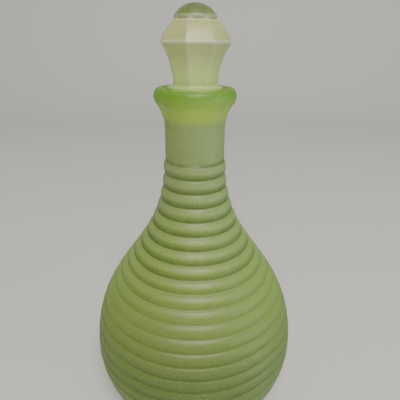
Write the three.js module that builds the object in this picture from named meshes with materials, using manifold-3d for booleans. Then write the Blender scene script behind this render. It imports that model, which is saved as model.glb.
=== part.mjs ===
// A stoppered glass bottle: a beehive-ribbed, pear-shaped body on a foot ring, with a plain
// neck and a flared lip, and a solid glass stopper with an eight-sided knob and a ground,
// tapered plug. Two pieces of glass: "bottle" and "stopper". Both are satin-etched all over.
//
// Millimetres, +Z up. The origin is the centre of the foot ring, on the surface that the
// bottle stands on. Every outline is a list of [radius, height] pairs from the foot upwards.

import * as THREE from "three";
import { mergeVertices } from "three/addons/utils/BufferGeometryUtils.js";
import Module from "manifold-3d";

// ---------------------------------------------------------------- driving dimensions

// Body
const BELLY_R = 63; // largest radius of the body
const BELLY_Z = 46; // height of that largest radius
const SHOULDER_LENGTH = 120; // from the belly up to where the body becomes the neck
const SHOULDER_FULLNESS = 57.5; // how far the belly's roundness carries upwards
const SHOULDER_SWEEP = 55.5; // how far the neck's slimness carries downwards
const HEEL_FULLNESS = 16; // how far the belly's roundness carries downwards
const HEEL_RISE = 8; // height from which the heel turns in to the foot
const HEEL_SWEEP = 9; // how far outside the foot that turn begins

// Foot
const FOOT_R = 43; // outer radius of the flat ring that the bottle stands on
const FOOT_WIDTH = 8; // width of that ring
const PUNT_RISE = 6; // height of the hollow under the bottle
const PUNT_FULLNESS = 0.6; // how far out that hollow stays high: 1 is the ring itself
const BASE_THICKNESS = 5; // glass over the top of that hollow

// Ribs
const RIB_COUNT = 23; // rounded bands from the neck down to the heel
const RIB_DEPTH = 1.1; // depth of the groove between two bands
const RIB_STEPS = 3; // straight steps that stand for one band's curve
const PLAIN_HEEL = 0.047; // share of the outline below the lowest groove, left smooth

// Neck and lip
const NECK_R = 16.4; // outer radius of the plain neck
const NECK_LENGTH = 38.2; // from the shoulder to the lip's top
const FLARE_R = 22; // radius of the sweep from the neck out to the lip
const LIP_OVERHANG = 5.5; // how far the lip stands out from the neck
const LIP_BEAD = 1; // the last of that overhang, which belongs to the lip's own round
const LIP_THICKNESS = 4.8; // from the widest point of the lip to its top
const LIP_ROUND = 2.3; // how far the outer round reaches in over the lip's top
const LIP_DISH = 0.35; // fall of the top face towards the mouth
const MOUTH_BEVEL = 2.2; // how far the mouth widens above the seat
const MOUTH_BEVEL_DEPTH = 2.2; // depth of that widening
const BEVEL_HOLLOW = 0.25; // how close the bevel's curve keeps to its corner: 0.5 is straight

// Glass thickness
const BODY_WALL = 3.8; // measured square to the outside

// Ground seat in the neck, and the plug that fits it
const SEAT_WALL = 3.1; // glass left round the seat's lower end
const SEAT_LENGTH = 16; // length of the ground surface
const SEAT_TAPER = 0.08; // gain in radius for each millimetre up
const SEAT_RELIEF = 5; // height over which the neck's own bore runs into the seat
const FIT_GAP = 0.3; // clearance between the plug and the seat
const PLUG_END_ROUND = 2.4; // round at the plug's lower end
const PLUG_SHORTER = 2; // how far the plug's end stays above the seat's lower end
const COLLAR_RISE = 0.75; // how far the plug's round shoulder stands above the lip
const COLLAR_ROUND = 0.6; // round at that shoulder's edge
const COLLAR_SWEEP = 1.4; // height of the hollow sweep from the shoulder in to the knob

// Stopper knob
const KNOB_SIDES = 8;
const KNOB_TURN = THREE.MathUtils.degToRad(8.9); // of a flat's middle from -Y towards +X
const GIRDLE_R = 18.7; // corner radius at the widest edge
const GIRDLE_RISE = 21.8; // height of that edge above the lip's top
const WAIST_R = 11.8; // corner radius where the knob is slimmest, just above the lip
const WAIST_RISE = 2.15; // height of that place above the lip's top
const TAPER_PULL_R = 12.85; // radius that the lower facets' hollow curve is drawn towards
const TAPER_PULL_DROP = 8.1; // how far that point lies below the girdle
const CROWN_RISE = 10.2; // height of the upper facets
const CROWN_TOP_R = 11.2; // corner radius at their top edge
const CROWN_BULGE = 1.0; // outward curve of the upper facets

// Dome on top of the knob
const DOME_R = 10.7;
const DOME_COLLAR = 1.6; // short upright wall under the dome
const DOME_RISE = 5.8;

// How finely the round shapes are divided
const ROUND_SEGMENTS = 36;
const BODY_SAMPLES = 400; // points along the smooth outline, before the ribs are cut
const WALL_POINTS = 24; // points along the inside of the body
const JOIN_DEPTH = 1; // how far joined solids run into each other

// ---------------------------------------------------------------- derived heights and radii

const SHOULDER_Z = BELLY_Z + SHOULDER_LENGTH;
const LIP_TOP_Z = SHOULDER_Z + NECK_LENGTH;
const LIP_R = NECK_R + LIP_OVERHANG;
const LIP_WIDEST_Z = LIP_TOP_Z - LIP_THICKNESS;
const SEAT_TOP_Z = LIP_TOP_Z - MOUTH_BEVEL_DEPTH;
const SEAT_END_Z = SEAT_TOP_Z - SEAT_LENGTH;
const seatRadius = (z) => NECK_R - SEAT_WALL + SEAT_TAPER * (z - SEAT_END_Z);
const plugRadius = (z) => seatRadius(z) - FIT_GAP;
const SEAT_TOP_R = seatRadius(SEAT_TOP_Z);
const COLLAR_TOP_Z = LIP_TOP_Z + COLLAR_RISE;
const WAIST_Z = LIP_TOP_Z + WAIST_RISE;
const GIRDLE_Z = LIP_TOP_Z + GIRDLE_RISE;
const CROWN_TOP_Z = GIRDLE_Z + CROWN_RISE;
const CAVITY_FLOOR_Z = PUNT_RISE + BASE_THICKNESS;

// ---------------------------------------------------------------- outline helpers

const point = (r, z) => new THREE.Vector2(r, z);
const pairs = (points) => points.map((p) => [p.x, p.y]);

// A cubic curve between two [radius, height] ends, as `count` + 1 points.
function cubic(start, startPull, endPull, end, count) {
  const curve = new THREE.CubicBezierCurve(
    point(...start),
    point(...startPull),
    point(...endPull),
    point(...end),
  );
  return curve.getPoints(count);
}

function quadratic(start, pull, end, count) {
  const curve = new THREE.QuadraticBezierCurve(point(...start), point(...pull), point(...end));
  return pairs(curve.getPoints(count));
}

// A stretch of an ellipse from angle `from` to `to`, counted from the outward horizontal.
function roundOff(centreR, centreZ, reachR, reachZ, from, to, count) {
  const made = [];
  for (let i = 0; i <= count; i++) {
    const angle = from + ((to - from) * i) / count;
    made.push([centreR + reachR * Math.cos(angle), centreZ + reachZ * Math.sin(angle)]);
  }
  return made;
}

// ---------------------------------------------------------------- the body's outline

// The smooth pear shape that the ribs' crests touch, from the foot up to the neck.
function smoothBody() {
  const heel = cubic(
    [FOOT_R, 0],
    [FOOT_R + HEEL_SWEEP, HEEL_RISE],
    [BELLY_R, BELLY_Z - HEEL_FULLNESS],
    [BELLY_R, BELLY_Z],
    BODY_SAMPLES / 2,
  );
  const shoulder = cubic(
    [BELLY_R, BELLY_Z],
    [BELLY_R, BELLY_Z + SHOULDER_FULLNESS],
    [NECK_R + RIB_DEPTH, SHOULDER_Z - SHOULDER_SWEEP],
    [NECK_R + RIB_DEPTH, SHOULDER_Z],
    BODY_SAMPLES,
  );
  return new THREE.Path([...heel, ...shoulder.slice(1)]);
}

const BODY_OUTLINE = smoothBody();

// A point of that outline at share t of its length, moved `inwards` square to the surface.
function bodyPoint(t, inwards) {
  const at = BODY_OUTLINE.getPointAt(t);
  const along = BODY_OUTLINE.getTangentAt(t);
  return [at.x - along.y * inwards, at.y + along.x * inwards];
}

// Rounded bands with a sharp groove between each two, evenly spaced along the surface.
function ribbedBody() {
  const made = [];
  for (let step = 0; step <= RIB_COUNT * RIB_STEPS; step++) {
    const acrossRib = (step % RIB_STEPS) / RIB_STEPS;
    const depth = RIB_DEPTH * (2 * acrossRib - 1) ** 2;
    const t = PLAIN_HEEL + ((1 - PLAIN_HEEL) * step) / (RIB_COUNT * RIB_STEPS);
    made.push(bodyPoint(t, depth));
  }
  return made;
}

// ---------------------------------------------------------------- the bottle

// Hollow under the bottle, from the axis out to the foot ring, and the ring itself.
function underside() {
  const ringInner = FOOT_R - FOOT_WIDTH;
  const puntShoulder = [ringInner * PUNT_FULLNESS, PUNT_RISE];
  const punt = quadratic([0, PUNT_RISE], puntShoulder, [ringInner, 0], 5);
  return [...punt, [FOOT_R, 0]];
}

// The sweep out from the neck, the lip's round, its top face and the bevel into the mouth.
function neckAndLip() {
  const sweepAngle = Math.acos(1 - (LIP_OVERHANG - LIP_BEAD) / FLARE_R);
  const sweepFoot = LIP_WIDEST_Z - LIP_THICKNESS / 2 - FLARE_R * Math.sin(sweepAngle);
  const sweep = roundOff(
    NECK_R + FLARE_R,
    sweepFoot,
    FLARE_R,
    FLARE_R,
    Math.PI,
    Math.PI - sweepAngle,
    4,
  );
  const round = roundOff(
    LIP_R - LIP_ROUND,
    LIP_WIDEST_Z,
    LIP_ROUND,
    LIP_THICKNESS,
    0,
    Math.PI / 2,
    5,
  );
  const mouthEdge = SEAT_TOP_R + MOUTH_BEVEL;
  const bevel = quadratic(
    [mouthEdge, LIP_TOP_Z - LIP_DISH],
    [SEAT_TOP_R + MOUTH_BEVEL * BEVEL_HOLLOW, LIP_TOP_Z - LIP_DISH - MOUTH_BEVEL_DEPTH * BEVEL_HOLLOW],
    [SEAT_TOP_R, SEAT_TOP_Z],
    4,
  );
  return [...sweep, ...round, ...bevel];
}

// Ground seat, the bore below it, and the wall of the cavity down to its floor on the axis.
function inside() {
  const boreR = NECK_R - BODY_WALL;
  const seatEnd = [seatRadius(SEAT_END_Z), SEAT_END_Z];
  const boreTop = [boreR, SEAT_END_Z - SEAT_RELIEF];
  const wall = [];
  for (let i = WALL_POINTS; i >= 0; i--) {
    const at = bodyPoint(i / WALL_POINTS, BODY_WALL + RIB_DEPTH / 2);
    if (at[1] > CAVITY_FLOOR_Z + BASE_THICKNESS) wall.push(at);
  }
  const lowest = wall[wall.length - 1];
  const floorEdge = [lowest[0] - BASE_THICKNESS, CAVITY_FLOOR_Z];
  const floor = quadratic(lowest, floorEdge, [0, CAVITY_FLOOR_Z], 5);
  return [seatEnd, boreTop, ...wall, ...floor.slice(1)];
}

function bottleOutline() {
  return [...underside(), ...ribbedBody(), ...neckAndLip(), ...inside()];
}

// ---------------------------------------------------------------- the stopper

// Eight-sided knob, from its foot inside the plug's shoulder up to the foot of the dome.
function knobOutline() {
  const taper = quadratic(
    [WAIST_R, WAIST_Z],
    [TAPER_PULL_R, GIRDLE_Z - TAPER_PULL_DROP],
    [GIRDLE_R, GIRDLE_Z],
    6,
  );
  const crownMiddle = [
    (GIRDLE_R + CROWN_TOP_R) / 2 + CROWN_BULGE,
    (GIRDLE_Z + CROWN_TOP_Z) / 2 + CROWN_BULGE,
  ];
  const crown = quadratic([GIRDLE_R, GIRDLE_Z], crownMiddle, [CROWN_TOP_R, CROWN_TOP_Z], 3);
  const footZ = COLLAR_TOP_Z - JOIN_DEPTH;
  return [[0, footZ], [WAIST_R, footZ], ...taper, ...crown.slice(1), [0, CROWN_TOP_Z]];
}

// Round collar and dome, starting inside the knob so that the two join.
function domeOutline() {
  const domeFootZ = CROWN_TOP_Z + DOME_COLLAR;
  const sphereR = (DOME_R ** 2 + DOME_RISE ** 2) / (2 * DOME_RISE);
  const footAngle = Math.acos(DOME_R / sphereR);
  const dome = roundOff(
    0,
    domeFootZ + DOME_RISE - sphereR,
    sphereR,
    sphereR,
    footAngle,
    Math.PI / 2,
    6,
  );
  dome[dome.length - 1][0] = 0;
  return [[0, CROWN_TOP_Z - JOIN_DEPTH], [DOME_R, CROWN_TOP_Z - JOIN_DEPTH], ...dome];
}

// Round tapered plug with a shoulder just above the lip, which sweeps in to the knob's flats.
function plugOutline() {
  const endZ = SEAT_END_Z + PLUG_SHORTER;
  const endR = plugRadius(endZ);
  const collarR = plugRadius(SEAT_TOP_Z);
  const flatsR = WAIST_R * Math.cos(Math.PI / KNOB_SIDES);
  const end = quadratic(
    [endR - PLUG_END_ROUND, endZ],
    [endR, endZ],
    [plugRadius(endZ + PLUG_END_ROUND), endZ + PLUG_END_ROUND],
    4,
  );
  const edge = quadratic(
    [collarR, COLLAR_TOP_Z - COLLAR_ROUND],
    [collarR, COLLAR_TOP_Z],
    [collarR - COLLAR_ROUND, COLLAR_TOP_Z],
    3,
  );
  const sweepTop = [flatsR, COLLAR_TOP_Z + COLLAR_SWEEP];
  const sweep = quadratic(edge[edge.length - 1], [flatsR, COLLAR_TOP_Z], sweepTop, 4);
  return [[0, endZ], ...end, [collarR, SEAT_TOP_Z], ...edge, ...sweep.slice(1), [0, sweepTop[1]]];
}

// ---------------------------------------------------------------- solids

const wasm = await Module();
wasm.setup();

// Spins an outline round +Z, with the first corner turned `turn` from -Y towards +X.
function turned(outline, segments, turn = 0) {
  const profile = outline.map(([r, z]) => point(r, z));
  const made = new THREE.LatheGeometry(profile, segments);
  made.rotateX(Math.PI / 2);
  made.rotateZ(turn);
  return made;
}

function solid(geometry) {
  const bare = geometry.clone();
  bare.deleteAttribute("normal");
  bare.deleteAttribute("uv");
  const merged = mergeVertices(bare, 1e-4);
  return new wasm.Manifold(
    new wasm.Mesh({
      numProp: 3,
      vertProperties: merged.attributes.position.array,
      triVerts: new Uint32Array(merged.index.array),
    }),
  );
}

function geometryOf(manifold) {
  const mesh = manifold.getMesh();
  const made = new THREE.BufferGeometry();
  made.setAttribute("position", new THREE.BufferAttribute(mesh.vertProperties, mesh.numProp));
  made.setIndex(new THREE.BufferAttribute(mesh.triVerts, 1));
  made.computeVertexNormals();
  return made;
}

function stopperGeometry() {
  const cornerTurn = KNOB_TURN + Math.PI / KNOB_SIDES;
  const knob = solid(turned(knobOutline(), KNOB_SIDES, cornerTurn));
  const dome = solid(turned(domeOutline(), ROUND_SEGMENTS));
  const plug = solid(turned(plugOutline(), ROUND_SEGMENTS));
  return geometryOf(knob.add(dome).add(plug));
}

// ---------------------------------------------------------------- the assembly

const bottleGlass = new THREE.MeshStandardMaterial({
  color: 0x93a862,
  roughness: 0.5,
  metalness: 0,
});
const stopperGlass = new THREE.MeshStandardMaterial({
  color: 0xb9c4a6,
  roughness: 0.45,
  metalness: 0,
});

const bottle = new THREE.Mesh(turned(bottleOutline(), ROUND_SEGMENTS), bottleGlass);
bottle.name = "bottle";

const stopper = new THREE.Mesh(stopperGeometry(), stopperGlass);
stopper.name = "stopper";

const assembly = new THREE.Group();
assembly.add(bottle, stopper);

export default assembly;
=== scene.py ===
# %% [markdown]
# # A stoppered bottle in satin-etched green glass
#
# The object is a pear-shaped glass bottle, ribbed all round like a straw beehive, with a plain
# neck, a flared lip and a solid glass stopper. Both pieces have the skin that an acid bath leaves:
# translucent and silky instead of clear and shiny.
#
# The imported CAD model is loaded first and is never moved. It fixes where the bottle stands, how
# tall and how wide it is, and how the stopper lifts. This script then turns two finer pieces of
# glass inside that frame and gives them their finish.

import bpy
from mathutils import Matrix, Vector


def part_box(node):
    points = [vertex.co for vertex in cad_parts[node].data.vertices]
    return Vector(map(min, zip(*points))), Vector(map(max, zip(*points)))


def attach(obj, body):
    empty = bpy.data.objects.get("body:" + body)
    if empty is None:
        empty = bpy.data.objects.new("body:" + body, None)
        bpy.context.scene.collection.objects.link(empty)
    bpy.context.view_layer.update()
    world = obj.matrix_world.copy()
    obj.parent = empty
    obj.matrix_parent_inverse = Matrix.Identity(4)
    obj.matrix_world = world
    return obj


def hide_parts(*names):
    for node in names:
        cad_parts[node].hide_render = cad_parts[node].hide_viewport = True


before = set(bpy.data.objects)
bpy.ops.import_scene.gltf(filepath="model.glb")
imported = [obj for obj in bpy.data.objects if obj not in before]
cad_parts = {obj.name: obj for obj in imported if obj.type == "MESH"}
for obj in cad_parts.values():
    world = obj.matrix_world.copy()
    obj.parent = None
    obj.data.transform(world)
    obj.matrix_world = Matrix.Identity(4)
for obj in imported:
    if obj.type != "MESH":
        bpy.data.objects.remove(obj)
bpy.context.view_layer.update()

# %% [markdown]
# ## Sizes
#
# A maker works in millimetres and Blender in metres, so every size of the glass is written in
# millimetres and multiplied by `MM`. The room round it is written in metres. The overall sizes are
# read from the CAD pieces' boxes. That ties the fine surfaces to the frame, so that they stay as
# tall and as wide as the pieces that MuJoCo moves.

# %% Sizes read from the frame
import math

import bmesh
import bpy
from mathutils import Matrix, Vector

MM = 0.001
_, bottle_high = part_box("bottle")
stopper_low, stopper_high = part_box("stopper")

lip_top = bottle_high.z
belly_radius = bottle_high.x
whole_height = stopper_high.z
plug_end = stopper_low.z
print(f"bottle {lip_top / MM:.1f} mm high, {2 * belly_radius / MM:.1f} mm across the belly")
print(f"stopper from {plug_end / MM:.1f} to {whole_height / MM:.1f} mm")

# %% [markdown]
# ## The camera and the room
#
# The bottle was looked at from very close and from a little above: the camera is level with the
# widest edge of the stopper and tips down by 23 degrees, so the belly swells towards the viewer
# and the foot falls below the bottom of the view. A wide lens at a short distance is what gives
# that shape, and a longer lens from further off could not, so the distance matters as much as the
# angle. The camera's matrix is written from its three axes, because a hand-held camera also leans
# and looks a little to one side.

# %% Camera
VIEW_DISTANCE = 200 * MM
GIRDLE_HEIGHT = lip_top + 21.8 * MM
PITCH_DOWN = math.radians(23.1)
YAW_RIGHT = math.radians(0.9)
LEAN = math.radians(0.56)
SENSOR_WIDTH = 36.0
FOCAL_LENGTH = 33.3
NEAREST_SEEN = 0.01


def look(place, pitch, yaw, lean):
    """A camera matrix at `place`, facing +Y, tipped down by pitch, turned right by yaw."""
    forward = Vector((math.sin(yaw) * math.cos(pitch), math.cos(yaw) * math.cos(pitch), -math.sin(pitch)))
    level = Vector((math.cos(yaw), -math.sin(yaw), 0.0))
    upward = level.cross(forward)
    right = level * math.cos(lean) + upward * math.sin(lean)
    up = upward * math.cos(lean) - level * math.sin(lean)
    turn = Matrix((right, up, -forward)).transposed()
    return Matrix.Translation(place) @ turn.to_4x4()


camera_data = bpy.data.cameras.new("camera")
camera_data.sensor_width = SENSOR_WIDTH
camera_data.lens = FOCAL_LENGTH
camera_data.clip_start = NEAREST_SEEN
camera = bpy.data.objects.new("camera", camera_data)
camera.matrix_world = look(Vector((0, -VIEW_DISTANCE, GIRDLE_HEIGHT)), PITCH_DOWN, YAW_RIGHT, LEAN)
bpy.context.scene.collection.objects.link(camera)
bpy.context.scene.camera = camera
print(f"camera {VIEW_DISTANCE / MM:.0f} mm from the axis, {GIRDLE_HEIGHT / MM:.0f} mm above the foot")

# %% [markdown]
# Satin glass shows its form by slow changes of tone, so the light is large and soft: one broad,
# slightly warm window high in front, and a weaker, cooler one low on the right. Both stand well
# back, so that the light falls off slowly across the bottle. The floor is a pale sheet that sweeps
# up into a wall, so there is no line behind the neck.


# %% Floor
def plain_material(name, colour, roughness):
    made = bpy.data.materials.new(name)
    made.use_nodes = True
    shader = made.node_tree.nodes["Principled BSDF"]
    shader.inputs["Base Color"].default_value = (*colour, 1)
    shader.inputs["Roughness"].default_value = roughness
    return made


FLOOR_HALF = 2.6
FLOOR_BACK = 0.9
SWEEP_RADIUS = 0.5
SWEEP_STEPS = 16
WALL_HEIGHT = 2.0
FLOOR_COLOUR = (0.6, 0.6, 0.59)
FLOOR_ROUGHNESS = 0.85


def floor_sweep():
    """A pale sheet: flat under the bottle, curved up at the back, then a plain wall."""
    line = [(-FLOOR_HALF, 0.0), (FLOOR_BACK, 0.0)]
    for step in range(1, SWEEP_STEPS + 1):
        angle = math.pi / 2 * step / SWEEP_STEPS
        rise = SWEEP_RADIUS * (1 - math.cos(angle))
        line.append((FLOOR_BACK + SWEEP_RADIUS * math.sin(angle), rise))
    line.append((FLOOR_BACK + SWEEP_RADIUS, WALL_HEIGHT))
    points = [(side * FLOOR_HALF, y, z) for y, z in line for side in (-1, 1)]
    faces = [(2 * i, 2 * i + 1, 2 * i + 3, 2 * i + 2) for i in range(len(line) - 1)]
    mesh = bpy.data.meshes.new("floor")
    mesh.from_pydata(points, [], faces)
    mesh.shade_smooth()
    mesh.materials.append(plain_material("pale_floor", FLOOR_COLOUR, FLOOR_ROUGHNESS))
    made = bpy.data.objects.new("floor", mesh)
    bpy.context.scene.collection.objects.link(made)
    print("floor:", len(mesh.polygons), "faces")


floor_sweep()


# %% Light
# Places and sizes are in metres, powers in watts.
WINDOW_PLACE = (0.15, -1.4, 2.15)
WINDOW_SIZE = (1.2, 0.9)
WINDOW_POWER = 80
WARM_WHITE = (1.0, 0.94, 0.85)
SIDE_PLACE = (1.2, -0.6, 0.17)
SIDE_SIZE = (0.7, 0.3)
SIDE_POWER = 6
COOL_GREEN = (0.62, 0.95, 0.85)
ROOM_COLOUR = (0.8, 0.83, 0.88)
ROOM_STRENGTH = 0.22


def soft_light(name, place, target, size, power, colour):
    """A rectangular light at `place` that faces `target`."""
    data = bpy.data.lights.new(name, "AREA")
    data.shape = "RECTANGLE"
    data.size, data.size_y = size
    data.energy = power
    data.color = colour
    made = bpy.data.objects.new(name, data)
    aim = (Vector(target) - Vector(place)).to_track_quat("-Z", "Y")
    made.matrix_world = Matrix.Translation(place) @ aim.to_matrix().to_4x4()
    bpy.context.scene.collection.objects.link(made)


middle = (0, 0, whole_height / 2)
soft_light("window_above", WINDOW_PLACE, middle, WINDOW_SIZE, WINDOW_POWER, WARM_WHITE)
soft_light("window_right", SIDE_PLACE, middle, SIDE_SIZE, SIDE_POWER, COOL_GREEN)

world = bpy.data.worlds.new("room")
world.use_nodes = True
room_light = world.node_tree.nodes["Background"]
room_light.inputs["Color"].default_value = (*ROOM_COLOUR, 1)
room_light.inputs["Strength"].default_value = ROOM_STRENGTH
bpy.context.scene.world = world

# %% [markdown]
# ## Outlines
#
# Both pieces are turned shapes, so each one starts as an outline: a line of points in the plane
# through the axis, from the foot to the top. A `Line` collects the points. Each point also
# carries notes for the turning step: how far along the ribbed stretch it lies, how much of the
# eight-sided shape it has, whether it is on a sharp edge, and which way is outwards. Curves are
# Bezier stretches with named pulls, as a mould maker would draw them.


# %% Outline helper
class Line:
    """A turned piece's outline: radius and height of each point, with its notes."""

    def __init__(self):
        self.points = []
        self.rib = []
        self.sided = []
        self.edge = []

    def add(self, radius, height, rib=-1.0, sided=0.0, edge=0.0):
        self.points.append(Vector((max(radius, 0.0), 0.0, height)))
        self.rib.append(rib)
        self.sided.append(sided)
        self.edge.append(edge)

    def curve(self, corners, steps, first=0):
        """A Bezier stretch through its first and last corner, pulled by those between."""
        for step in range(first, steps + 1):
            radius, height = bezier(corners, step / steps)
            self.add(radius, height)

    def outward(self):
        """The direction square to the outline at each point, away from the glass."""
        made = []
        last = len(self.points) - 1
        for i in range(last + 1):
            along = self.points[min(i + 1, last)] - self.points[max(i - 1, 0)]
            made.append(Vector((along.z, 0, -along.x)).normalized())
        return made


def bezier(corners, t):
    """The point at share t of a Bezier curve of any degree, by repeated halving of its hull."""
    left = [Vector(c) for c in corners]
    while len(left) > 1:
        left = [a.lerp(b, t) for a, b in zip(left, left[1:])]
    return left[0]


# %% [markdown]
# ### The bottle's outline
#
# The line runs from the middle of the hollow under the bottle out to the foot ring, up the ribbed
# body, along the plain neck, round the lip, down into the mouth, and then down the inside of the
# glass to the floor of the cavity. It starts and ends on the axis, so the turned skin is closed
# and the glass has a real thickness for light to be absorbed in. The body's curve is sampled evenly
# along its length, because the ribs are evenly spaced along the surface, not in height.

# %% Body sizes
neck_radius = 16.4 * MM
foot_radius = 43 * MM
foot_width = 8 * MM
punt_rise = 6 * MM
base_thickness = 5 * MM
belly_height = 46 * MM
shoulder_height = lip_top - 38.2 * MM
glass_wall = 3.8 * MM
rib_count = 23
rib_depth = 1.1 * MM
steps_per_rib = 16
heel_share = 0.047
heel_spread = 9 * MM
heel_rise = 8 * MM
belly_pull_down = 16 * MM
belly_pull_up = 57.5 * MM
neck_pull_down = 55.5 * MM

heel_curve = [
    (foot_radius, 0),
    (foot_radius + heel_spread, heel_rise),
    (belly_radius, belly_height - belly_pull_down),
    (belly_radius, belly_height),
]
shoulder_curve = [
    (belly_radius, belly_height),
    (belly_radius, belly_height + belly_pull_up),
    (neck_radius + rib_depth, shoulder_height - neck_pull_down),
    (neck_radius + rib_depth, shoulder_height),
]


# %% Even steps along the body
MEASURING_STEPS = 400
SHORTEST_SPAN = 1e-12


def even_steps(curves, count):
    """`count` + 1 points evenly spaced along the curves laid end to end, with their normals."""
    fine = [bezier(c, i / MEASURING_STEPS) for c in curves for i in range(MEASURING_STEPS + 1)]
    lengths = [0.0]
    for a, b in zip(fine, fine[1:]):
        lengths.append(lengths[-1] + (b - a).length)
    made, seek = [], 0
    for i in range(count + 1):
        goal = lengths[-1] * i / count
        while seek < len(fine) - 2 and lengths[seek + 1] < goal:
            seek += 1
        span = max(lengths[seek + 1] - lengths[seek], SHORTEST_SPAN)
        here = fine[seek].lerp(fine[seek + 1], (goal - lengths[seek]) / span)
        ahead = fine[min(seek + 2, len(fine) - 1)] - fine[max(seek - 1, 0)]
        made.append((here, Vector((ahead.y, -ahead.x)).normalized()))
    return made, lengths[-1]


body_steps = round(rib_count * steps_per_rib / (1 - heel_share))
body_line, body_length = even_steps([heel_curve, shoulder_curve], body_steps)
rib_pitch = body_length * (1 - heel_share) / rib_count
print(f"outline of the body {body_length / MM:.0f} mm, one rib every {rib_pitch / MM:.2f} mm")

# %% [markdown]
# The lip sweeps out of the neck, rolls over in a thick bead, and dishes very slightly towards the
# mouth. It has no sharp corner, as glass that was shaped hot. The mouth is bevelled down to the
# ground seat that holds the plug.

# %% Neck, lip and mouth sizes
flare_radius = 22 * MM
lip_overhang = 5.5 * MM
lip_bead = 1.0 * MM
lip_thickness = 4.8 * MM
lip_round = 2.3 * MM
lip_dish = 0.35 * MM
mouth_bevel = 2.2 * MM
bevel_depth = 2.2 * MM
seat_wall = 3.1 * MM
seat_length = 16 * MM
seat_taper = 0.08
seat_relief = 5 * MM
lip_edge_ease = 0.5 * MM
lip_ease_drop = 0.2 * MM
punt_flat = 0.6
bevel_pull = 0.25
relief_pull = 0.4
inner_skip = 6

seat_top = lip_top - bevel_depth
seat_end = seat_top - seat_length
bore_radius = neck_radius - glass_wall


def seat_radius(height):
    return neck_radius - seat_wall + seat_taper * (height - seat_end)


print(f"ground seat {2 * seat_radius(seat_end) / MM:.1f} to {2 * seat_radius(seat_top) / MM:.1f} mm across")


# %% Draw the bottle's outline
def bottle_line():
    line = Line()
    ring_inner = foot_radius - foot_width
    line.curve([(0, punt_rise), (ring_inner * punt_flat, punt_rise), (ring_inner, 0)], steps=24)
    ring_steps = 5
    for step in range(1, ring_steps):
        line.add(ring_inner + foot_width * step / ring_steps, 0)

    ribbed_from = round(heel_share * body_steps)
    for i, (at, _) in enumerate(body_line):
        rib = (i - ribbed_from) / (body_steps - ribbed_from) if i >= ribbed_from else -1
        line.add(at.x, at.y, rib=rib)

    bend = math.acos(1 - (lip_overhang - lip_bead) / flare_radius)
    widest = lip_top - lip_thickness
    sweep_foot = widest - lip_thickness / 2 - flare_radius * math.sin(bend)
    neck_steps = 9
    for step in range(1, neck_steps):
        line.add(neck_radius, shoulder_height + (sweep_foot - shoulder_height) * step / neck_steps)
    flare_steps = 14
    for step in range(flare_steps + 1):
        angle = bend * step / flare_steps
        reach = flare_radius * (1 - math.cos(angle))
        line.add(neck_radius + reach, sweep_foot + flare_radius * math.sin(angle))
    lip_centre = neck_radius + lip_overhang - lip_round
    lip_steps = 16
    for step in range(lip_steps + 1):
        angle = math.pi / 2 * step / lip_steps
        line.add(lip_centre + lip_round * math.cos(angle), widest + lip_thickness * math.sin(angle))

    top_of_seat = (seat_radius(seat_top), seat_top)
    end_of_seat = (seat_radius(seat_end), seat_end)
    mouth_edge = top_of_seat[0] + mouth_bevel
    face_end = lip_top - lip_dish
    line.curve([(lip_centre, lip_top), (mouth_edge + lip_edge_ease, face_end)], steps=6, first=1)
    corner = (top_of_seat[0] + mouth_bevel * bevel_pull, face_end - bevel_depth * bevel_pull)
    line.curve([(mouth_edge, face_end - lip_ease_drop), corner, top_of_seat], steps=10)
    line.curve([top_of_seat, end_of_seat], steps=10, first=1)
    relief_end = seat_end - seat_relief
    line.curve(
        [
            end_of_seat,
            (end_of_seat[0], seat_end - seat_relief * relief_pull),
            (bore_radius, relief_end + seat_relief * relief_pull),
            (bore_radius, relief_end),
        ],
        steps=8,
        first=1,
    )

    wall_end = punt_rise + 2 * base_thickness
    behind_ribs = glass_wall + rib_depth / 2
    inner = [at - out * behind_ribs for at, out in reversed(body_line[::inner_skip])]
    inner = [at for at in inner if at.y > wall_end]
    for at in inner:
        line.add(at.x, at.y)
    floor_height = punt_rise + base_thickness
    last = inner[-1]
    line.curve([last, (last.x - base_thickness, floor_height), (0, floor_height)], steps=24, first=1)
    return line


outline_of_bottle = bottle_line()
print("bottle outline:", len(outline_of_bottle.points), "points")

# %% [markdown]
# ### The stopper's outline
#
# The stopper is one solid piece, probably pressed. From the bottom: a round plug with a ground
# taper and a rounded end, whose shoulder stands just proud of the lip, a sweep in from that
# shoulder to a slim waist where the shape becomes eight-sided, a hollow curve out to the girdle,
# the upper facets, a short upright collar and a dome. `sided` goes from 0 (round) to 1 (eight
# flats). The girdle and the edges above it keep a small round, because etched edges look soft.

# %% Stopper sizes
girdle_radius = 18.7 * MM
crown_rise = 10.2 * MM
crown_top_radius = 11.2 * MM
crown_bulge = 1.0 * MM
dome_radius = 10.7 * MM
dome_collar = 1.6 * MM
dome_rise = 5.8 * MM
plug_gap = 0.3 * MM
plug_round = 2.4 * MM
shoulder_rise = 0.75 * MM
shoulder_round = 0.6 * MM
shoulder_sweep = 1.4 * MM
waist_radius = 11.8 * MM
taper_pull_radius = 12.85 * MM
taper_pull_drop = 8.1 * MM
ledge_rise = 0.15 * MM
collar_rise = 0.2 * MM
edge_round = 0.45 * MM
# The next two are the strengths of the painted highlight on rounded edges: full on the girdle and the ledge,
# weaker round the dome's collar.
sharp_edge = 1.0
soft_edge = 0.35
knob_sides = 8
crown_top = GIRDLE_HEIGHT + crown_rise
shoulder_top = lip_top + shoulder_rise


def plug_radius(height):
    return seat_radius(height) - plug_gap


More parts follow.
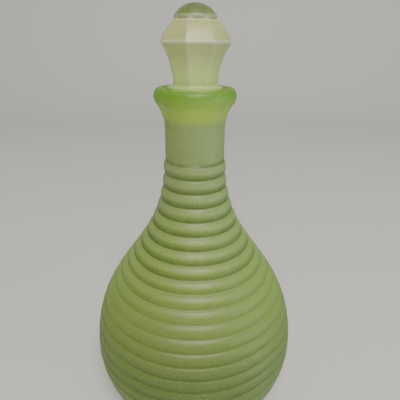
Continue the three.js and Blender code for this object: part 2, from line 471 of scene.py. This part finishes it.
# %% Draw the stopper's outline
def rounded(corners, reach, steps):
    """Points through a chain of corners, each inner one replaced by a small round."""
    made = [Vector(corners[0])]
    for before, here, after in zip(corners, corners[1:], corners[2:]):
        here = Vector(here)
        back, ahead = Vector(before) - here, Vector(after) - here
        start = here + back.normalized() * min(reach, back.length / 2)
        end = here + ahead.normalized() * min(reach, ahead.length / 2)
        made += [bezier([start, here, end], i / steps) for i in range(steps + 1)]
    return made + [Vector(corners[-1])]


def stopper_line():
    line = Line()
    line.add(0, plug_end)
    end_radius = plug_radius(plug_end)
    line.curve([(0, plug_end), (end_radius - plug_round, plug_end)], steps=5, first=1)
    round_top = plug_end + plug_round
    line.curve(
        [(end_radius - plug_round, plug_end), (end_radius, plug_end), (plug_radius(round_top), round_top)],
        steps=8,
        first=1,
    )
    shoulder_radius = plug_radius(seat_top)
    line.curve([(plug_radius(round_top), round_top), (shoulder_radius, seat_top)], steps=12, first=1)
    edge_foot = shoulder_top - shoulder_round
    line.curve([(shoulder_radius, seat_top), (shoulder_radius, edge_foot)], steps=3, first=1)
    edge_in = (shoulder_radius - shoulder_round, shoulder_top)
    line.curve([(shoulder_radius, edge_foot), (shoulder_radius, shoulder_top), edge_in], steps=5, first=1)

    waist = shoulder_top + shoulder_sweep
    sweep_steps = 11
    for step in range(1, sweep_steps):
        share = step / sweep_steps
        at = bezier([edge_in, (waist_radius, shoulder_top), (waist_radius, waist)], share)
        line.add(at.x, at.y, sided=share)
    taper = [
        (waist_radius, waist),
        (taper_pull_radius, GIRDLE_HEIGHT - taper_pull_drop),
        (girdle_radius, GIRDLE_HEIGHT),
    ]
    middle_crown = (
        (girdle_radius + crown_top_radius) / 2 + crown_bulge,
        (GIRDLE_HEIGHT + crown_top) / 2 + crown_bulge,
    )
    crown = [(girdle_radius, GIRDLE_HEIGHT), middle_crown, (crown_top_radius, crown_top)]
    flat_steps = 14
    lower = [bezier(taper, i / flat_steps) for i in range(flat_steps + 1)]
    for at in lower[:-1]:
        line.add(at.x, at.y, sided=1.0)
    crown_steps = 8
    upper = [bezier(crown, i / crown_steps) for i in range(1, crown_steps)]
    for at in rounded([lower[-2], lower[-1], upper[0]], edge_round, steps=5)[1:-1]:
        line.add(at.x, at.y, sided=1.0, edge=sharp_edge)
    for at in upper:
        line.add(at.x, at.y, sided=1.0)
    ledge_corners = [upper[-1], (crown_top_radius, crown_top), (dome_radius, crown_top + ledge_rise)]
    for at in rounded(ledge_corners, edge_round, steps=3)[1:-1]:
        line.add(at.x, at.y, sided=1.0, edge=sharp_edge)

    foot = crown_top + dome_collar
    sphere = (dome_radius**2 + dome_rise**2) / (2 * dome_rise)
    tip = math.acos(dome_radius / sphere)
    centre = foot + dome_rise - sphere
    dome = []
    dome_steps = 16
    for step in range(1, dome_steps + 1):
        angle = tip + (math.pi / 2 - tip) * step / dome_steps
        dome.append(Vector((sphere * math.cos(angle), centre + sphere * math.sin(angle))))
    collar_corners = [(dome_radius, crown_top + collar_rise), (dome_radius, foot), dome[0]]
    for at in rounded(collar_corners, edge_round, steps=3)[:-1]:
        line.add(at.x, at.y, edge=soft_edge)
    for at in dome:
        line.add(at.x, at.y)
    return line


outline_of_stopper = stopper_line()
print("stopper outline:", len(outline_of_stopper.points), "points")

# %% [markdown]
# ## Turning the outlines
#
# A lathe could be imitated with Spin or a Screw modifier, but neither can carve ribs or turn a
# circle into eight flats on the way. Geometry Nodes can: the tree below makes a flat grid, whose
# rows are the outline's points and whose columns are steps round the axis, and moves every grid
# point to its place in space. Ribs and flats are then two short formulas, and their number and
# depth are named inputs. A slow noise moves the surface by about a tenth of a millimetre, because
# moulded glass is never quite even.


# %% Node helpers
class Tree:
    """A small writer for node trees: `add` makes a node and wires or sets its inputs."""

    def __init__(self, tree):
        self.tree = tree

    def add(self, kind, inputs=None, **settings):
        node = self.tree.nodes.new(kind)
        for name, value in settings.items():
            setattr(node, name, value)
        for key, value in (inputs or {}).items():
            self.feed(node.inputs[key], value)
        return node

    def feed(self, socket, value):
        if isinstance(value, bpy.types.NodeSocket):
            self.tree.links.new(value, socket)
        elif value is not None:
            socket.default_value = value

    def math(self, operation, *values):
        node = self.tree.nodes.new("ShaderNodeMath")
        node.operation = operation
        for socket, value in zip(node.inputs, values):
            self.feed(socket, value)
        return node.outputs[0]

    def vector(self, operation, *values, scale=None):
        node = self.tree.nodes.new("ShaderNodeVectorMath")
        node.operation = operation
        for socket, value in zip(node.inputs, values):
            self.feed(socket, value)
        if scale is not None:
            self.feed(node.inputs["Scale"], scale)
        return node.outputs["Value"] if operation in ("LENGTH", "DOT_PRODUCT") else node.outputs[0]


def add_sockets(tree, way, sockets):
    for name, kind, default in sockets:
        made = tree.interface.new_socket(name, in_out=way, socket_type="NodeSocket" + kind)
        if default is not None:
            made.default_value = default


# %% [markdown]
# The rib rule: a band falls away from its middle by a power of the distance, deepest where two
# bands meet, so the groove between them is a sharp valley and the crest is broad. The power is an
# input: 2 gives an even round, and more makes the crest flatter. The side rule: the distance to
# a flat grows as 1 / cos of the angle from its middle, and adding the two nearest flats' cosines
# at a high power rounds the corner between them.


# %% The turning tree
MERGE_DISTANCE = 0.002 * MM
# The next two set the painted highlight along the corners between the flats: how strong it is, and how far
# it spreads from a corner.
CORNER_HIGHLIGHT = 0.65
CORNER_SPREAD = 0.5
JUST_OFF_ZERO = 0.0001


def turning_tree():
    """The node tree that turns an outline into a ribbed, sided piece of glass."""
    tree = bpy.data.node_groups.new("turn_glass", "GeometryNodeTree")
    add_sockets(
        tree,
        "INPUT",
        [
            ("Outline", "Geometry", None),
            ("Steps round", "Int", 192),
            ("Rib count", "Float", 24.0),
            ("Rib depth", "Float", 0.0011),
            ("Rib flatness", "Float", 2.4),
            ("Sides", "Float", 8.0),
            ("Corner sharpness", "Float", 70.0),
            ("Turn", "Float", 0.0),
            ("Waviness", "Float", 0.0001),
            ("Wave size", "Float", 18.0),
            ("Seed", "Float", 1.0),
            ("Material", "Material", None),
        ],
    )
    add_sockets(tree, "OUTPUT", [("Piece", "Geometry", None)])
    t = Tree(tree)
    given = t.add("NodeGroupInput").outputs
    outline = given["Outline"]

    count = t.add("GeometryNodeAttributeDomainSize", {"Geometry": outline}).outputs["Point Count"]
    columns = t.math("ADD", given["Steps round"], 1)
    grid = t.add(
        "GeometryNodeMeshGrid", {"Size X": 1.0, "Size Y": 1.0, "Vertices X": columns, "Vertices Y": count}
    ).outputs["Mesh"]
    flat = t.add("ShaderNodeSeparateXYZ", {0: t.add("GeometryNodeInputPosition").outputs[0]}).outputs
    share = t.math("ADD", flat["X"], 0.5)
    row = t.math("ROUND", t.math("MULTIPLY", t.math("ADD", flat["Y"], 0.5), t.math("SUBTRACT", count, 1)))

    def sampled(kind, value):
        return t.add(
            "GeometryNodeSampleIndex",
            {"Geometry": outline, "Value": value, "Index": row},
            data_type=kind,
            domain="POINT",
        ).outputs["Value"]

    def note(name, kind):
        return t.add("GeometryNodeInputNamedAttribute", {"Name": name}, data_type=kind).outputs["Attribute"]

    place = t.add(
        "ShaderNodeSeparateXYZ",
        {0: sampled("FLOAT_VECTOR", t.add("GeometryNodeInputPosition").outputs[0])},
    ).outputs
    normal = sampled("FLOAT_VECTOR", note("outward", "FLOAT_VECTOR"))
    out = t.add("ShaderNodeSeparateXYZ", {0: normal}).outputs
    rib = sampled("FLOAT", note("rib", "FLOAT"))
    sided = sampled("FLOAT", note("sided", "FLOAT"))
    ring = sampled("FLOAT", note("edge", "FLOAT"))

    angle = t.math("MULTIPLY", share, 2 * math.pi)
    cosine, sine = t.math("COSINE", angle), t.math("SINE", angle)

    # Eight flats: the polygon's reach at this angle, as a share of its corner radius.
    sector = t.math("DIVIDE", 2 * math.pi, given["Sides"])
    half = t.math("MULTIPLY", sector, 0.5)
    from_flat = t.math(
        "SUBTRACT",
        t.math("FLOORED_MODULO", t.math("ADD", t.math("SUBTRACT", angle, given["Turn"]), half), sector),
        half,
    )
    power = given["Corner sharpness"]
    near = t.math("POWER", t.math("COSINE", from_flat), power)
    next_angle = t.math("SUBTRACT", sector, t.math("ABSOLUTE", from_flat))
    far = t.math("POWER", t.math("COSINE", next_angle), power)
    spread = t.math("POWER", t.math("ADD", near, far), t.math("DIVIDE", -1, power))
    polygon = t.math("MULTIPLY", spread, t.math("COSINE", half))
    reach = t.math("ADD", 1, t.math("MULTIPLY", sided, t.math("SUBTRACT", polygon, 1)))
    radius = t.math("MULTIPLY", place["X"], reach)

    # Ribs: a crowned band from groove to groove, only where the outline is marked as ribbed.
    across = t.math("FLOORED_MODULO", t.math("MULTIPLY", rib, given["Rib count"]), 1)
    centred = t.math("SUBTRACT", t.math("MULTIPLY", across, 2), 1)
    crowned = t.math("POWER", t.math("ABSOLUTE", centred), given["Rib flatness"])
    valley = t.math("MULTIPLY", crowned, given["Rib depth"])
    on_ribs = t.math("GREATER_THAN", rib, -JUST_OFF_ZERO)
    carved = t.math("MULTIPLY", valley, on_ribs)

    turned = t.add(
        "ShaderNodeCombineXYZ",
        {0: t.math("MULTIPLY", radius, cosine), 1: t.math("MULTIPLY", radius, sine), 2: place["Z"]},
    ).outputs[0]
    outward = t.add(
        "ShaderNodeCombineXYZ",
        {0: t.math("MULTIPLY", out["X"], cosine), 1: t.math("MULTIPLY", out["X"], sine), 2: out["Z"]},
    ).outputs[0]
    noise = t.add(
        "ShaderNodeTexNoise",
        {"Vector": turned, "W": given["Seed"], "Scale": given["Wave size"], "Detail": 1.0},
        noise_dimensions="4D",
    ).outputs["Fac"]
    sag = t.math("MULTIPLY", noise, given["Waviness"])
    moved = t.vector("SUBTRACT", turned, t.vector("SCALE", outward, scale=t.math("ADD", carved, sag)))

    # Two notes for the painted shade and painted highlights: where on its band a point lies, and how
    # near it is to an edge.
    nearness = t.math("POWER", t.math("DIVIDE", far, near), CORNER_SPREAD)
    corner = t.math("MULTIPLY", t.math("MULTIPLY", sided, CORNER_HIGHLIGHT), nearness)
    on_band = t.math("MULTIPLY", centred, on_ribs)
    on_edge = t.math("MAXIMUM", ring, corner)
    marked = grid
    for name, value in (("across", on_band), ("edge", on_edge)):
        marked = t.add(
            "GeometryNodeStoreNamedAttribute",
            {"Geometry": marked, "Name": name, "Value": value},
            data_type="FLOAT",
            domain="POINT",
        ).outputs[0]

    placed = t.add("GeometryNodeSetPosition", {"Geometry": marked, "Position": moved}).outputs[0]
    merging = {"Geometry": placed, "Distance": MERGE_DISTANCE}
    closed = t.add("GeometryNodeMergeByDistance", merging).outputs[0]
    smooth = t.add("GeometryNodeSetShadeSmooth", {"Geometry": closed}).outputs[0]
    real = t.add("GeometryNodeRealizeInstances", {"Geometry": smooth}).outputs[0]
    finished = t.add("GeometryNodeSetMaterial", {"Geometry": real, "Material": given["Material"]}).outputs[0]
    t.add("NodeGroupOutput", {"Piece": finished})
    return tree


turning = turning_tree()
print("turning tree:", len(turning.nodes), "nodes")

# %% [markdown]
# The outline goes in as a chain of points and edges that carries the notes as attributes. The
# modifier's inputs are set by their identifiers before anything is evaluated, the result is
# copied to a plain mesh, and the modifier goes away with its object. Doubled points at the poles
# and the seam are merged before the normals are worked out, so that one closed skin is left.


# %% Turn an outline into a piece
def outline_object(name, line):
    mesh = bpy.data.meshes.new(name)
    edges = [(i, i + 1) for i in range(len(line.points) - 1)]
    mesh.from_pydata(line.points, edges, [])
    for note, values in (("rib", line.rib), ("sided", line.sided), ("edge", line.edge)):
        mesh.attributes.new(note, "FLOAT", "POINT").data.foreach_set("value", values)
    flat = [number for out in line.outward() for number in out]
    mesh.attributes.new("outward", "FLOAT_VECTOR", "POINT").data.foreach_set("vector", flat)
    made = bpy.data.objects.new(name, mesh)
    bpy.context.scene.collection.objects.link(made)
    return made


def turn(name, line, **values):
    source = outline_object(name + "_outline", line)
    modifier = source.modifiers.new("turn", "NODES")
    modifier.node_group = turning
    for socket in turning.interface.items_tree:
        if socket.item_type == "SOCKET" and socket.in_out == "INPUT" and socket.name in values:
            modifier[socket.identifier] = values[socket.name]
    bpy.context.view_layer.update()
    evaluated = source.evaluated_get(bpy.context.evaluated_depsgraph_get())
    mesh = bpy.data.meshes.new_from_object(evaluated)
    mesh.name = name
    bpy.data.objects.remove(source)
    work = bmesh.new()
    work.from_mesh(mesh)
    bmesh.ops.remove_doubles(work, verts=work.verts, dist=MERGE_DISTANCE)
    bmesh.ops.recalc_face_normals(work, faces=work.faces)
    loose_edges = sum(not edge.is_manifold for edge in work.edges)
    volume = work.calc_volume(signed=True)
    work.to_mesh(mesh)
    work.free()
    made = bpy.data.objects.new(name, mesh)
    bpy.context.scene.collection.objects.link(made)
    print(f"{name}: {len(mesh.polygons)} faces, {loose_edges} open edges, {volume * 1e6:.1f} cm3 of glass")
    return made


# %% [markdown]
# ## Satin glass
#
# Acid eats the skin of the glass into a very fine grain. Two things follow, and both are in the
# material. Light that goes in is scattered, so the glass looks translucent with soft, broad
# highlights: that is transmission with a high roughness. And the thicker the glass that the light
# crosses, the greener it comes out: that is absorption inside the piece, and it is strongest at the
# rims and the sides. The grain itself is a shader node group that both pieces use, each with its
# own roughness and seed.


# %% Etched grain, shared by both pieces
FINE_SCALE = 2600
SANDY_SCALE = 950
CLOUD_SCALE = 45.0
FLECK_SCALE = 130.0
FINE_SHARE = 0.55
SANDY_SHARE = 0.45
FLECK_SIZE = 0.06
FLECK_CLOUD = 0.6


def noise(t, here, seed, scale, detail):
    """A soft random pattern on the piece's own coordinates."""
    made = t.add(
        "ShaderNodeTexNoise",
        {"Vector": here, "W": seed, "Scale": scale, "Detail": detail},
        noise_dimensions="4D",
    )
    return made.outputs["Fac"]


def etched_grain():
    """Height, roughness, tone, cloud and fleck of an etched skin, from Object coordinates."""
    tree = bpy.data.node_groups.new("etched_grain", "ShaderNodeTree")
    inputs = [
        ("Grain size", "Float", 1.0),
        ("Roughness", "Float", 0.45),
        ("Unevenness", "Float", 0.08),
        ("Seed", "Float", 0.0),
    ]
    outputs = ("Height", "Roughness", "Tone", "Cloud", "Fleck")
    add_sockets(tree, "INPUT", inputs)
    add_sockets(tree, "OUTPUT", [(name, "Float", None) for name in outputs])
    t = Tree(tree)
    given = t.add("NodeGroupInput").outputs
    here = t.add("ShaderNodeTexCoord").outputs["Object"]
    seed = given["Seed"]
    fine = noise(t, here, seed, t.math("DIVIDE", FINE_SCALE, given["Grain size"]), 3.0)
    sandy = noise(t, here, seed, t.math("DIVIDE", SANDY_SCALE, given["Grain size"]), 2.0)
    cloud = noise(t, here, seed, CLOUD_SCALE, 4.0)
    fine_part = t.math("MULTIPLY", fine, FINE_SHARE)
    height = t.math("ADD", fine_part, t.math("MULTIPLY", sandy, SANDY_SHARE))
    swing = t.math("MULTIPLY", t.math("SUBTRACT", cloud, 0.5), given["Unevenness"])
    rough = t.math("ADD", given["Roughness"], t.math("MULTIPLY", swing, 2))
    chips = t.add(
        "ShaderNodeTexVoronoi",
        {"Vector": here, "W": seed, "Scale": FLECK_SCALE, "Randomness": 1.0},
        voronoi_dimensions="4D",
        feature="F1",
    ).outputs["Distance"]
    near_chip = t.math("LESS_THAN", chips, FLECK_SIZE)
    fleck = t.math("MULTIPLY", near_chip, t.math("GREATER_THAN", cloud, FLECK_CLOUD))
    made = {"Height": height, "Roughness": rough, "Tone": sandy, "Cloud": cloud, "Fleck": fleck}
    t.add("NodeGroupOutput", made)
    return tree


grain = etched_grain()
print("etched grain:", len(grain.nodes), "nodes")

# %% [markdown]
# The skin's tint changes slowly with height, partly the glass's own green and partly painted light
# and shade. The bottle is deep green at the heel, a painted shade; lighter up the shoulder, painted
# light from above; lime round the seat, partly a painted glow of light through the plug; and green
# again in the lip. The stopper goes from a pale plug, a painted glow, past a cream crown, a painted
# reflection of warm light, to a dark dome. Thicker and thinner glass could look like that, but the
# cause isn't known. Each band gets painted shade under its middle and painted light over it, and
# the sharp edges of the stopper get a painted highlight.
# `across` and `edge` are the notes that the turning tree left. All strengths and tints below were
# chosen by looking at trial renders.


# %% Tint helpers
def tint_by_height(t, stops):
    """A colour for each height in `stops`, blended smoothly between them."""
    here = t.add("ShaderNodeTexCoord").outputs["Object"]
    height = t.add("ShaderNodeSeparateXYZ", {0: here}).outputs["Z"]
    ramp = t.add("ShaderNodeValToRGB", {"Fac": t.math("DIVIDE", height, whole_height)})
    ramp.color_ramp.interpolation = "EASE"
    steps = ramp.color_ramp.elements
    for step, (at, colour) in zip(steps, (stops[0], stops[-1])):
        step.position, step.color = at / whole_height, (*colour, 1)
    for at, colour in stops[1:-1]:
        steps.new(at / whole_height).color = (*colour, 1)
    return ramp.outputs["Color"]


def blend(t, share, under, over):
    """The colour `over` laid on the colour `under` by a share from 0 to 1."""
    # A Mix node has two inputs for each kind of data: 6 and 7 are the two colours.
    over = over if isinstance(over, bpy.types.NodeSocket) else (*over, 1)
    return t.add("ShaderNodeMix", {"Factor": share, 6: under, 7: over}, data_type="RGBA").outputs[2]


def noted(t, name):
    """A note that the turning tree stored on the mesh."""
    return t.add("ShaderNodeAttribute", {}, attribute_name=name).outputs["Fac"]


# %% [markdown]
# The bands' painted shade and painted highlight fade round the belly and come back on the
# shoulder. Only the painting fades: the ribs are equally deep everywhere, so the lamps still draw
# them where the painted shade is faint.


# %% How strongly the bands' painted shade and highlight show at each height
def grey(value):
    return (value, value, value)


FULL_TINT = grey(1.0)
FADING_TINT = grey(0.9)
BELLY_TINT = grey(0.2)
FAINTEST_TINT = grey(0.15)

painted_band_strengths = [
    (0, FULL_TINT),
    (belly_height - 12 * MM, FADING_TINT),
    (belly_height + 4 * MM, BELLY_TINT),
    (belly_height + 38 * MM, FAINTEST_TINT),
    (belly_height + 70 * MM, FULL_TINT),
    (whole_height, FULL_TINT),
]
print("faintest bands", [round(height / MM) for height, _ in painted_band_strengths[2:4]], "mm up")

# %% Painted shade and highlights on the bands and edges
# The first two set how unevenly the bands' painted shade and painted highlights are laid on. A FALL
# is a power: a higher one keeps its mark narrower. A SHARE scales how much of the deep or the pale
# tint a mark lays on. UNDER is painted shade below a band's middle, CREST painted light over it, RIM
# a painted highlight on its upper edge, and EDGE a painted highlight on the stopper's edges.
SHADING_LEAST = 0.45
SHADING_SWING = 0.9
UNDER_FALL = 0.7
UNDER_SHARE = 0.9
CREST_PLACE = 0.3
CREST_NARROWING = 1.6
CREST_FALL = 1.5
CREST_SHARE = 0.8
RIM_FALL = 8
RIM_SHARE = 0.3
EDGE_SHARE = 0.9
SPECKLE_STRENGTH = 1.3
DARK_SPECKLE = 0.7
FLECK_SHARE = 0.8
FLECK_TINT = (0.95, 0.97, 0.85)
UNEVENNESS = 0.06
BUMP_STRENGTH = 0.4
GRAIN_HEIGHT = 0.06 * MM
GLASS_IOR = 1.5
SATIN_SPECULAR = 0.3
print(f"grain of {GRAIN_HEIGHT / MM:.2f} mm, refraction {GLASS_IOR}")


# %% The satin glass
def satin_glass(name, stops, deep, pale, grain_size, roughness, transmission, absorbed, density, seed):
    """Etched glass: `stops` tint the skin by height, partly with painted light and shade, `absorbed` is what
    thick glass lets through.
    """
    made = bpy.data.materials.new(name)
    made.use_nodes = True
    tree = made.node_tree
    t = Tree(tree)
    shader = tree.nodes["Principled BSDF"]
    skin = t.add("ShaderNodeGroup", {}, node_tree=grain)
    given = {"Grain size": grain_size, "Roughness": roughness, "Unevenness": UNEVENNESS, "Seed": seed}
    for key, value in given.items():
        skin.inputs[key].default_value = value

    # A band gets painted shade under its middle, painted light over it, and a painted highlight on
    # its upper edge, each stronger or weaker at random and with height.
    across = noted(t, "across")
    shading_strength = t.math("ADD", SHADING_LEAST, t.math("MULTIPLY", skin.outputs["Cloud"], SHADING_SWING))
    shading_strength = t.math("MULTIPLY", shading_strength, tint_by_height(t, painted_band_strengths))
    below = t.math("MAXIMUM", t.math("MULTIPLY", across, -1), 0)
    under = t.math("POWER", below, UNDER_FALL)
    from_crest = t.math("ABSOLUTE", t.math("SUBTRACT", across, CREST_PLACE))
    crest = t.math("MAXIMUM", t.math("SUBTRACT", 1, t.math("MULTIPLY", from_crest, CREST_NARROWING)), 0)
    on_band = t.math("GREATER_THAN", t.math("ABSOLUTE", across), JUST_OFF_ZERO)
    crest = t.math("MULTIPLY", t.math("POWER", crest, CREST_FALL), on_band)
    rim = t.math("POWER", t.math("MAXIMUM", across, 0), RIM_FALL)
    speckle = t.math("MULTIPLY", t.math("SUBTRACT", skin.outputs["Tone"], 0.5), SPECKLE_STRENGTH)
    dark = t.math("MAXIMUM", t.math("MULTIPLY", speckle, -DARK_SPECKLE), 0)

    colour = tint_by_height(t, stops)
    colour = blend(t, t.math("MULTIPLY", under, t.math("MULTIPLY", shading_strength, UNDER_SHARE)), colour, deep)
    colour = blend(t, t.math("MULTIPLY", crest, t.math("MULTIPLY", shading_strength, CREST_SHARE)), colour, pale)
    colour = blend(t, t.math("MULTIPLY", rim, t.math("MULTIPLY", shading_strength, RIM_SHARE)), colour, pale)
    # The stopper's sharp edges and the corners of its flats get a painted highlight.
    colour = blend(t, t.math("MULTIPLY", noted(t, "edge"), EDGE_SHARE), colour, pale)
    colour = blend(t, t.math("MAXIMUM", speckle, 0), colour, pale)
    colour = blend(t, dark, colour, deep)
    colour = blend(t, t.math("MULTIPLY", skin.outputs["Fleck"], FLECK_SHARE), colour, FLECK_TINT)
    grain_bump = {"Strength": BUMP_STRENGTH, "Distance": GRAIN_HEIGHT, "Height": skin.outputs["Height"]}
    bump = t.add("ShaderNodeBump", grain_bump).outputs["Normal"]
    t.feed(shader.inputs["Base Color"], colour)
    t.feed(shader.inputs["Roughness"], skin.outputs["Roughness"])
    t.feed(shader.inputs["Normal"], bump)
    shader.inputs["Transmission Weight"].default_value = transmission
    shader.inputs["IOR"].default_value = GLASS_IOR
    shader.inputs["Specular IOR Level"].default_value = SATIN_SPECULAR
    inside = t.add("ShaderNodeVolumeAbsorption", {"Color": (*absorbed, 1), "Density": density})
    t.feed(tree.nodes["Material Output"].inputs["Volume"], inside.outputs[0])
    print(f"{name}: {len(tree.nodes)} nodes, {len(stops)} tints")
    return made


# %% The bottle's glass
# The heel's darker green is a painted shade, the shoulder's paler tint painted light from above, and the
# seat's lime partly a painted glow of light through the plug.
heel_tint_and_shade = (0.14, 0.36, 0.13)
belly_tint = (0.34, 0.45, 0.10)
shoulder_tint_and_light = (0.72, 0.86, 0.26)
neck_tint = (0.64, 0.72, 0.38)
seat_tint_and_glow = (0.96, 1.0, 0.28)
lip_tint = (0.36, 0.66, 0.07)
lightest_shoulder = belly_height + 60 * MM
lime_start = seat_end + 5 * MM
lime_end = lip_top - 9 * MM
green_lip = lip_top - 1 * MM

bottle_glass = satin_glass(
    "bottle_glass",
    [
        (0, heel_tint_and_shade),
        (belly_height, belly_tint),
        (lightest_shoulder, shoulder_tint_and_light),
        (shoulder_height, neck_tint),
        (seat_end, neck_tint),
        (lime_start, seat_tint_and_glow),
        (lime_end, seat_tint_and_glow),
        (green_lip, lip_tint),
    ],
    deep=(0.09, 0.14, 0.01),
    pale=(0.90, 0.97, 0.50),
    grain_size=1.0,
    roughness=0.48,
    transmission=0.82,
    absorbed=(0.62, 0.92, 0.1),
    density=85,
    seed=1.0,
)

# %% The stopper's glass
# The plug's near-white tint is a painted glow seen through the neck, and the crown's cream a painted
# reflection of warm light.
plug_tint_and_glow = (1.0, 1.0, 0.75)
waist_tint = (0.74, 0.90, 0.34)
girdle_tint = (0.73, 0.74, 0.36)
crown_tint_and_reflection = (0.80, 0.76, 0.36)
collar_tint = (0.24, 0.31, 0.12)
dome_tint = (0.16, 0.22, 0.08)

stopper_glass = satin_glass(
    "stopper_glass",
    [
        (plug_end, plug_tint_and_glow),
        (lip_top, waist_tint),
        (GIRDLE_HEIGHT, girdle_tint),
        (crown_top, crown_tint_and_reflection),
        (crown_top + dome_collar, collar_tint),
        (whole_height, dome_tint),
    ],
    deep=(0.5, 0.6, 0.3),
    pale=(1.0, 1.0, 0.82),
    grain_size=1.0,
    roughness=0.38,
    transmission=0.62,
    absorbed=(0.85, 0.95, 0.5),
    density=40,
    seed=2.0,
)

# %% [markdown]
# ## The two pieces
#
# The bottle rides on the body that stands still, the stopper on the body that slides up. Each one
# stands for its CAD node, which stays hidden behind it for the physics.

# %% Turn the bottle
bottle = turn(
    "ribbed_bottle",
    outline_of_bottle,
    **{
        "Steps round": 160,
        "Rib count": float(rib_count),
        "Rib depth": rib_depth,
        "Rib flatness": 2.4,
        "Waviness": 0.16 * MM,
        "Seed": 3.0,
        "Material": bottle_glass,
    },
)
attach(bottle, "bottle")
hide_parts("bottle")

# %% Turn the stopper
KNOB_TURN = 8.9
FLAT_FACES = math.radians(-90 + KNOB_TURN)
stopper = turn(
    "glass_stopper",
    outline_of_stopper,
    **{
        "Steps round": 192,
        "Sides": float(knob_sides),
        "Corner sharpness": 90.0,
        "Turn": FLAT_FACES,
        "Waviness": 0.06 * MM,
        "Seed": 5.0,
        "Material": stopper_glass,
    },
)
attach(stopper, "stopper")
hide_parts("stopper")
